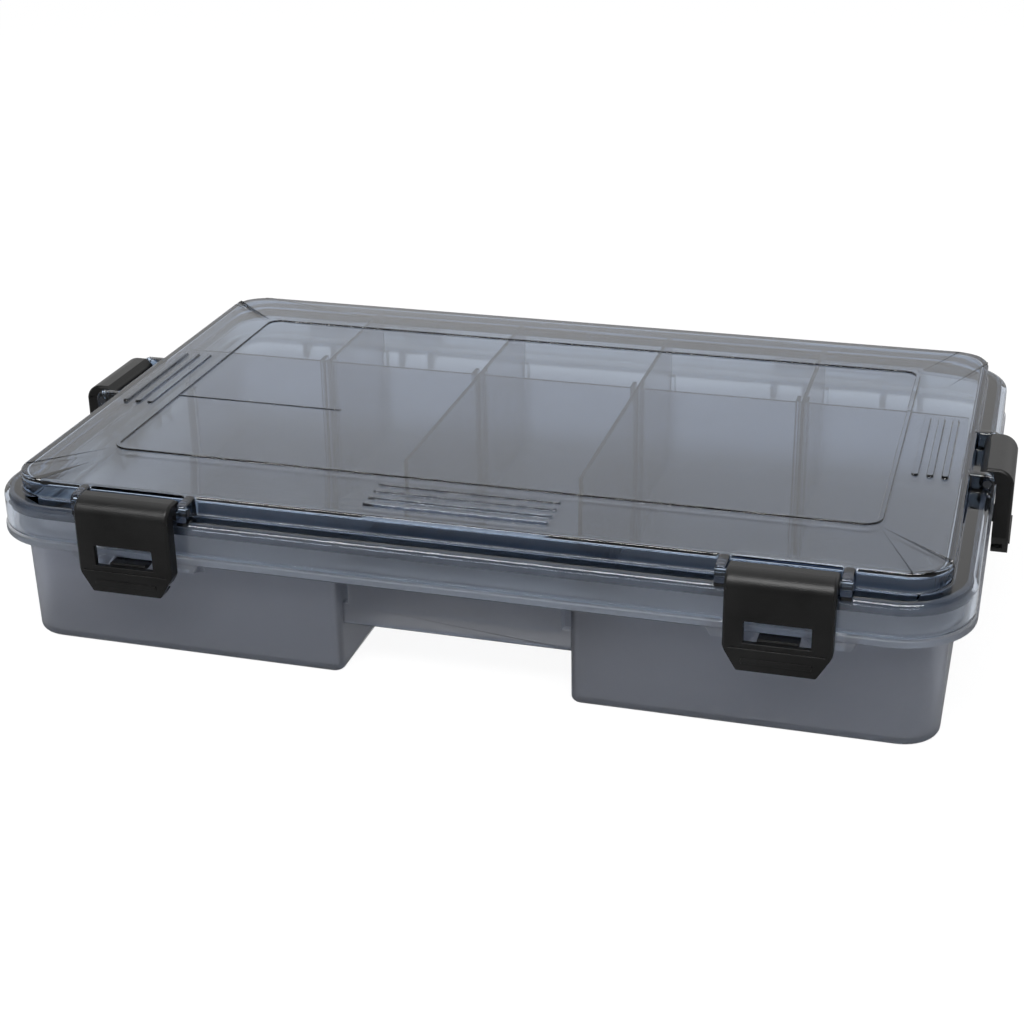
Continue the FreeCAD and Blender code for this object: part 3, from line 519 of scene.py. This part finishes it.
def make_world():
    """Even studio light; gloss shows a dark front and a pale back, the view shows white."""
    world = bpy.data.worlds.new("studio")
    bpy.context.scene.world = world
    world.use_nodes = True
    tree = world.node_tree
    light = tree.nodes["Background"]
    light.inputs["Color"].default_value = SKY
    light.inputs["Strength"].default_value = SKY_STRENGTH
    gloss = tree.nodes.new("ShaderNodeBackground")
    gloss.inputs["Color"].default_value = WHITE
    fade = map_range(tree, axes_of(tree, "Generated")["Y"], *GLOSS_SPAN, *GLOSS_STRENGTH)
    tree.links.new(fade, gloss.inputs["Strength"])
    white = tree.nodes.new("ShaderNodeBackground")
    white.inputs["Color"].default_value = WHITE
    shown = shown_to(tree, ["Is Glossy Ray"], 1.0, light, gloss)
    shown = shown_to(tree, ["Is Camera Ray", "Is Transmission Ray"], 1.0, shown, white)
    tree.links.new(shown.outputs[0], tree.nodes["World Output"].inputs["Surface"])


def make_lamps():
    """Area lights aimed at the box."""
    for name, (place, size, power) in LAMPS.items():
        light = bpy.data.lights.new(name, "AREA")
        light.shape = "RECTANGLE"
        light.size, light.size_y = size
        light.energy = power
        lamp = bpy.data.objects.new(name, light)
        lamp.location = place
        lamp.rotation_euler = (LAMPS_AIM - Vector(place)).to_track_quat("-Z", "Y").to_euler()
        bpy.context.collection.objects.link(lamp)


def make_camera():
    """Camera of the photograph."""
    camera = bpy.data.cameras.new("camera")
    camera.sensor_width = SENSOR
    camera.lens = FOCAL_PIXELS / IMAGE_PIXELS * SENSOR
    camera.clip_start = CAMERA_NEAREST
    yaw, pitch, roll = CAMERA_YAW, CAMERA_PITCH, CAMERA_ROLL
    ahead = Vector((-math.sin(yaw) * math.cos(pitch), math.cos(yaw) * math.cos(pitch),
                    -math.sin(pitch)))
    level = Vector((math.cos(yaw), math.sin(yaw), 0))
    down = ahead.cross(level)
    right = math.cos(roll) * level + math.sin(roll) * down
    up = math.sin(roll) * level - math.cos(roll) * down
    turned = Matrix((right, up, -ahead)).transposed().to_4x4()
    place = bpy.data.objects.new("camera", camera)
    place.matrix_world = Matrix.Translation(CAMERA_PLACE) @ turned
    bpy.context.collection.objects.link(place)
    bpy.context.scene.camera = place


dress({
    "latch_pin": black_plastic("pin_plastic", dark=(0.010, 0.011, 0.013),
                               pale=(0.018, 0.019, 0.022)),
    "hinge_pin": steel(),
    "latch": black_plastic("latch_plastic", dark=(0.002, 0.002, 0.002),
                           pale=(0.0045, 0.0045, 0.0045)),
    "seal": rubber(),
    "divider": smoky("divider_plastic", roughness=0.16, grain=0.10, depth=240,
                     tint=(0.86, 0.88, 0.92)),
    "lid": smoky("lid_plastic", roughness=0.03, grain=0.02, depth=190,
                 tint=(0.92, 0.94, 0.965),
                 # painted shade: the lid's deck wall darkened in colour
                 painted_shade_band={"low": 59.4 * MM, "high": 65.2 * MM, "fade": 0.5 * MM,
                       "tint": (0.34, 0.42, 0.52)}),
    "tub": smoky("tub_plastic", roughness=0.38, grain=0.25, depth=95,
                 tint=(0.95, 0.955, 0.97), clear=0.97,
                 # painted shade: the tub painted darker towards the bottom, over the shade beneath
                 # the box
                 painted_shade_band={"low": -1 * MM, "high": 37 * MM, "fade": 5 * MM,
                       "tint": (0.66, 0.67, 0.71)}),
})
for node_name in list(NODES):
    if not any(key in node_name for key in PLAIN):
        rounded(node_name, *value_for(node_name, MOULDINGS))
make_floor()
make_world()
make_lamps()
make_camera()

scene = bpy.context.scene
scene.view_settings.view_transform = "Standard"
scene.cycles.max_bounces = BOUNCES
scene.cycles.transmission_bounces = BOUNCES
